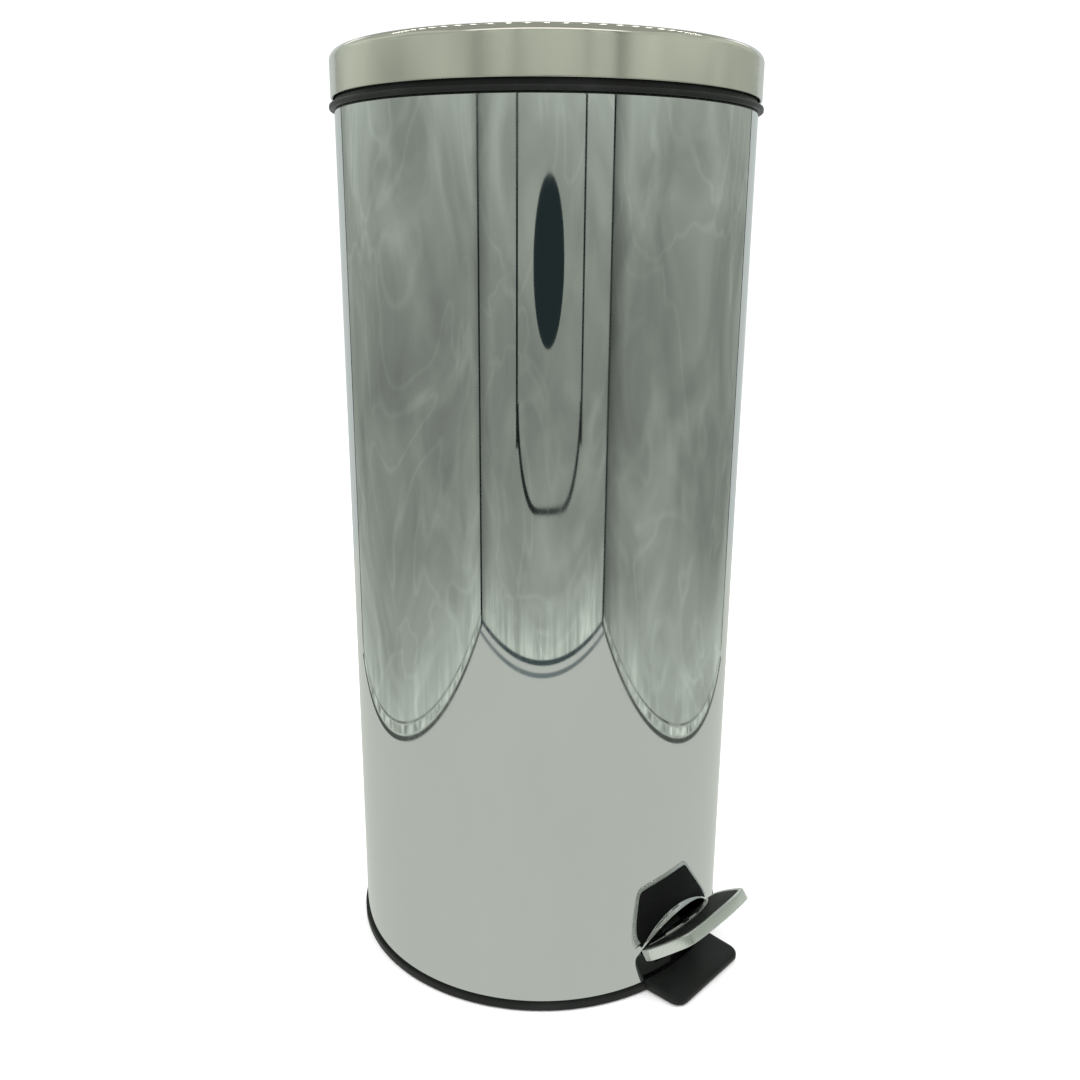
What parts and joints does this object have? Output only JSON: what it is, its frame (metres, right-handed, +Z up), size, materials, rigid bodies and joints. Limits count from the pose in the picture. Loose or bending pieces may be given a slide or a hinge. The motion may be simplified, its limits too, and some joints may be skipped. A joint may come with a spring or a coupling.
{
  "type": "pedal trash can",
  "caption": "Cylindrical steel pedal bin: a front pedal lifts a rod inside that swings the hinged lid open over a lift-out bucket with a wire bail.",
  "frame": {"origin": "centre of the base on the floor, under the axis of the body; it is also the centre of the whole object's box", "axes": "+Z up, the pedal faces -Y, the lid hinge is at +Y, +X is to the right seen from the pedal side"},
  "size_m": [0.299, 0.3662, 0.666],
  "materials": {
    "polished_steel": "mirror-polished stainless steel sheet",
    "lid_steel": "polished stainless steel sheet, slightly soft",
    "pedal_steel": "satin stainless steel",
    "zinc_steel": "zinc-plated steel",
    "fastener_steel": "plated steel fasteners and pins",
    "black_plastic": "satin black moulded plastic",
    "pan_plastic": "black moulded plastic",
    "bucket_plastic": "black moulded plastic with a faint texture",
    "pedal_pad": "dark grey moulded pad",
    "nylon": "natural nylon",
    "nylon_black": "black nylon",
    "rubber": "black rubber"
  },
  "bodies": {
    "root": {"body_shell": "polished_steel", "rim_ring": "black_plastic", "base_ring": "black_plastic", "floor_pan": "pan_plastic", "floor_screws": "fastener_steel", "foot_front_left": "rubber", "foot_front_right": "rubber", "foot_rear_left": "rubber", "foot_rear_right": "rubber", "foot_plate_pad": "rubber", "pivot_bracket_left": "zinc_steel", "pivot_bracket_right": "zinc_steel", "bracket_rivets": "fastener_steel", "pivot_pin": "fastener_steel", "pivot_clips": "fastener_steel", "lever_bumper": "rubber", "rod_guide_lower": "nylon_black", "rod_guide_upper": "nylon_black", "guide_rivets": "fastener_steel", "hinge_housing": "black_plastic", "housing_screws": "fastener_steel", "hinge_pin": "fastener_steel", "carry_handle": "black_plastic", "handle_screws": "fastener_steel"},
    "pedal": {"pedal_tray": "pedal_steel", "pedal_pad": "pedal_pad", "pad_clips": "pedal_steel", "pedal_lever": "zinc_steel", "tray_rivets": "fastener_steel", "pivot_bush": "nylon"},
    "rod": {"push_rod": "zinc_steel", "rod_foot": "nylon", "rod_cap": "nylon"},
    "lid": {"lid_shell": "lid_steel", "lid_inner_ring": "black_plastic", "lid_bumpers": "rubber", "lid_hinge_arm": "zinc_steel", "lid_rivets": "fastener_steel"},
    "bucket": {"inner_bucket": "bucket_plastic"},
    "bail": {"bail_wire": "zinc_steel", "bail_grip": "black_plastic"}
  },
  "joints": [
    {"name": "lid_open", "type": "hinge", "parent": "root", "child": "lid", "pos_m": [0, 0.155, 0.628], "axis": [-1, 0, 0], "range_deg": [0, 75]},
    {"name": "pedal_press", "type": "hinge", "parent": "root", "child": "pedal", "pos_m": [0, -0.03, 0.027], "axis": [1, 0, 0], "range_deg": [0, 9.02]},
    {"name": "rod_lift", "type": "slide", "parent": "root", "child": "rod", "axis": [0, 0, 1], "range_m": [0, 0.0263]},
    {"name": "bucket_lift", "type": "slide", "parent": "root", "child": "bucket", "axis": [0, 0, 1], "range_m": [0, 0.008]},
    {"name": "bail_swing", "type": "hinge", "parent": "bucket", "child": "bail", "pos_m": [0, 0, 0.5998], "axis": [-1, 0, 0], "range_deg": [0, 20]}
  ],
  "couplings": [
    {"joint": "pedal_press", "follows": "lid_open", "ratio": 0.12},
    {"joint": "rod_lift", "follows": "lid_open", "m_per_rad": 0.020081}
  ]
}
